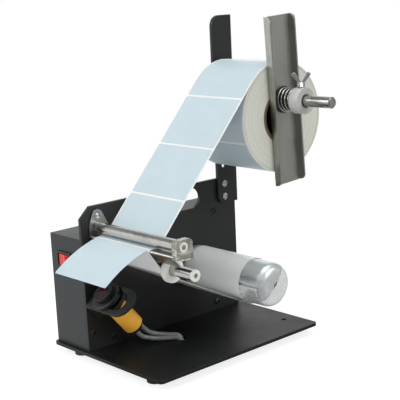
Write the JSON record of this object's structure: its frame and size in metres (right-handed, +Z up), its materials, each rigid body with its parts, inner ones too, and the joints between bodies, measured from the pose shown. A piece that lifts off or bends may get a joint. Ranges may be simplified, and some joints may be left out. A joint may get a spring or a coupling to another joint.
{
  "type": "label dispenser",
  "caption": "Motor-driven benchtop label dispenser with a roll of labels on a spool shaft, peel plate, rollers, take-up drum and label sensor on a black steel frame.",
  "frame": {"origin": "centre of the assembly's footprint, on the surface that the feet stand on", "axes": "+X out along the spool shaft, away from the motor housing; +Y to the back; +Z up"},
  "size_m": [0.1906, 0.258, 0.2959],
  "materials": {
    "black_coat": "satin",
    "foot_rubber": "matte",
    "screw_steel": "polished",
    "black_screw": "satin",
    "polished_steel": "polished",
    "brushed_steel": "brushed",
    "spring_steel": "polished",
    "drum_steel": "polished",
    "grey_plastic": "satin",
    "nylon": "satin",
    "clear_plastic": "glossy",
    "black_plastic": "satin",
    "red_plastic": "glossy",
    "orange_plastic": "glossy",
    "lens_dark": "glossy",
    "lead_grey": "satin",
    "cardboard": "matte",
    "roll_paper": "matte",
    "liner_paper": "satin",
    "label_paper": "satin",
    "bronze": "satin",
    "motor_paint": "satin",
    "gear_cast": "satin",
    "board_green": "satin",
    "transformer_tape": "satin",
    "capacitor_sleeve": "glossy"
  },
  "bodies": {
    "frame": {"base_plate": "black_coat", "rubber_feet": "foot_rubber", "foot_screws": "screw_steel", "side_plate": "black_coat", "motor_housing": "black_coat", "plate_screws": "black_screw", "floor_screws": "black_screw", "floor_nuts": "screw_steel", "upright_bar": "black_coat", "upright_screws": "screw_steel", "spool_shaft": "polished_steel", "shaft_washer": "screw_steel", "shaft_screw": "black_screw", "roll_stop": "grey_plastic", "liner_web": "liner_paper", "web_labels": "label_paper", "dispensed_label": "label_paper", "peel_plate": "brushed_steel", "tongue_screw": "screw_steel", "guide_shaft": "polished_steel", "end_block": "clear_plastic", "end_ring": "nylon", "lower_shaft": "polished_steel", "side_bush": "bronze", "motor_case": "motor_paint", "motor_gearbox": "gear_cast", "motor_studs": "screw_steel", "motor_nuts": "screw_steel", "control_board": "board_green", "board_standoffs": "bronze", "transformer": "transformer_tape", "capacitor": "capacitor_sleeve", "lead_plug": "nylon", "power_inlet": "black_plastic", "switch_bezel": "black_plastic", "sensor_strap": "black_coat", "strap_screws": "black_screw", "sensor_barrel": "orange_plastic", "sensor_head": "black_plastic", "sensor_lens": "lens_dark", "sensor_nuts": "black_plastic", "sensor_boot": "black_plastic", "sensor_lead": "lead_grey"},
    "roll": {"roll_core": "cardboard", "label_roll": "roll_paper"},
    "collar": {"shaft_collar": "grey_plastic", "clamp_spring": "spring_steel"},
    "wing": {"wing_screw": "screw_steel"},
    "presser": {"clamp_washer": "screw_steel"},
    "channel": {"clamp_channel": "brushed_steel"},
    "guide_roller": {"guide_tube": "polished_steel", "guide_bushes": "nylon"},
    "lower_roller": {"lower_tube": "polished_steel", "lower_bushes": "nylon"},
    "ring": {"guide_ring": "nylon"},
    "takeup": {"takeup_drum": "drum_steel", "takeup_liner": "liner_paper", "drum_shaft": "polished_steel"},
    "clip": {"liner_clip": "drum_steel"},
    "rocker": {"switch_rocker": "red_plastic"}
  },
  "joints": [
    {"name": "roll_spin", "type": "hinge", "parent": "frame", "child": "roll", "pos_m": [-0.00015, 0.07905, 0.2046], "axis": [1, 0, 0], "continuous": true},
    {"name": "collar_slide", "type": "slide", "parent": "frame", "child": "collar", "axis": [1, 0, 0], "range_m": [0, 0.025]},
    {"name": "wing_turn", "type": "hinge", "parent": "collar", "child": "wing", "pos_m": [0.05965, 0.07905, 0.2353], "axis": [0, 0, 1], "range_deg": [0, 360]},
    {"name": "clamp_press", "type": "slide", "parent": "collar", "child": "presser", "axis": [1, 0, 0], "range_m": [0, 0.008], "stiffness_N_per_m": 350, "springref_m": -0.003, "deforming": ["clamp_spring"]},
    {"name": "channel_turn", "type": "hinge", "parent": "presser", "child": "channel", "pos_m": [0.0373, 0.07905, 0.2203], "axis": [1, 0, 0], "continuous": true},
    {"name": "guide_roller_spin", "type": "hinge", "parent": "frame", "child": "guide_roller", "pos_m": [0.0093, -0.07445, 0.1209], "axis": [1, 0, 0], "continuous": true},
    {"name": "lower_roller_spin", "type": "hinge", "parent": "frame", "child": "lower_roller", "pos_m": [0.0093, -0.06415, 0.0953], "axis": [1, 0, 0], "continuous": true},
    {"name": "ring_slide", "type": "slide", "parent": "lower_roller", "child": "ring", "axis": [1, 0, 0], "range_m": [0, 0.02]},
    {"name": "takeup_spin", "type": "hinge", "parent": "frame", "child": "takeup", "pos_m": [0.0043, 0.03685, 0.0615], "axis": [1, 0, 0], "continuous": true},
    {"name": "clip_pull", "type": "slide", "parent": "takeup", "child": "clip", "axis": [1, 0, 0], "range_m": [0, 0.1]},
    {"name": "rocker_switch", "type": "hinge", "parent": "frame", "child": "rocker", "pos_m": [-0.0732, -0.08765, 0.0902], "axis": [0, 0, 1], "range_deg": [0, 16]}
  ]
}
